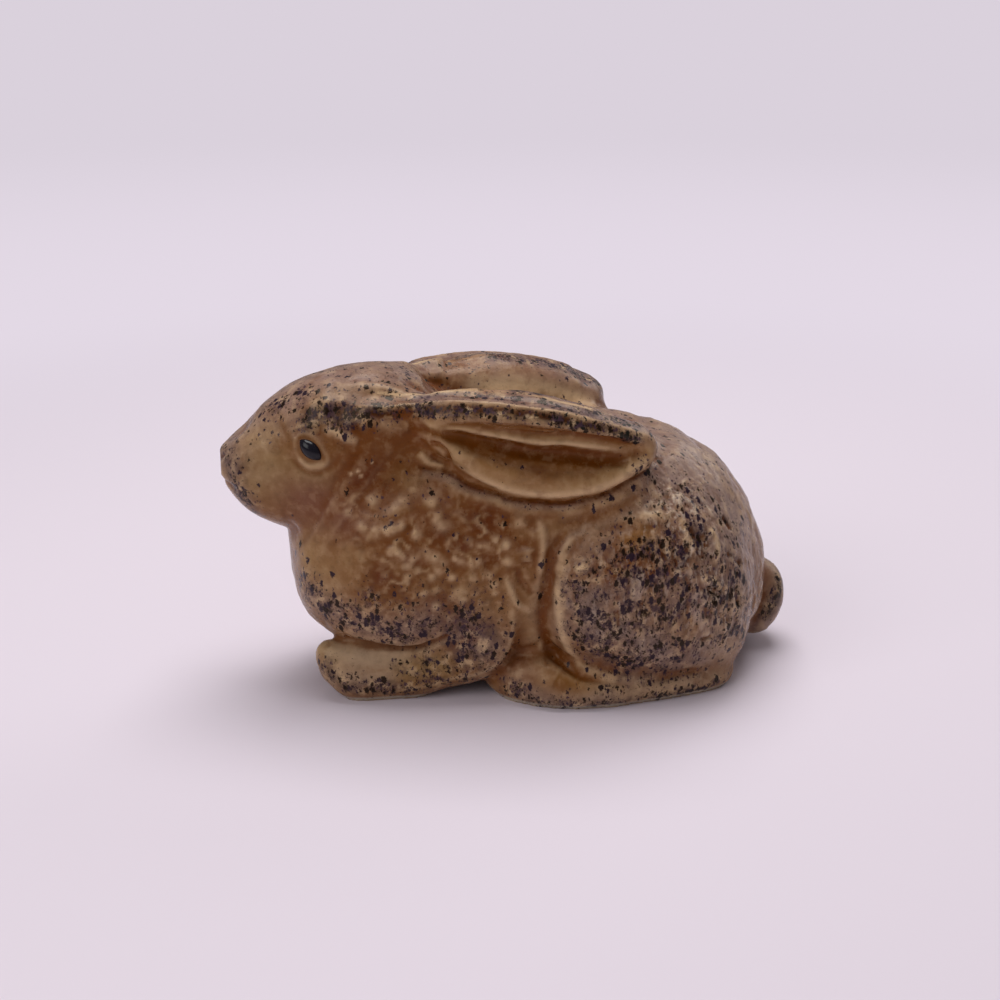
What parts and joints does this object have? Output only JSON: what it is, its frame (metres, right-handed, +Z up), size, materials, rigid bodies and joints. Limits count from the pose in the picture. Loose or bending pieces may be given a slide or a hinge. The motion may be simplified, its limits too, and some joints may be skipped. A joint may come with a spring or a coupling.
{
  "type": "ceramic rabbit figurine",
  "caption": "Crouching rabbit ornament in speckled amber-brown glazed stoneware, ears laid back over the shoulders, resting on flat soles.",
  "frame": {"origin": "on the table under the middle of the figurine", "axes": "+Z up, nose towards -X and tail towards +X, the rabbit's left side towards -Y"},
  "size_m": [0.096, 0.0468, 0.0532],
  "materials": {
    "speckled_glaze": "semi-gloss amber-brown glaze with dark speckles, pale where it breaks on edges",
    "eye_glaze": "glossy near-black glaze"
  },
  "bodies": {
    "root": {"body_shell": "speckled_glaze", "head": "speckled_glaze", "left_ear": "speckled_glaze", "right_ear": "speckled_glaze", "left_eye": "eye_glaze", "right_eye": "eye_glaze", "left_haunch": "speckled_glaze", "right_haunch": "speckled_glaze", "left_hind_foot": "speckled_glaze", "right_hind_foot": "speckled_glaze", "left_foreleg": "speckled_glaze", "right_foreleg": "speckled_glaze", "tail": "speckled_glaze"}
  },
  "joints": []
}
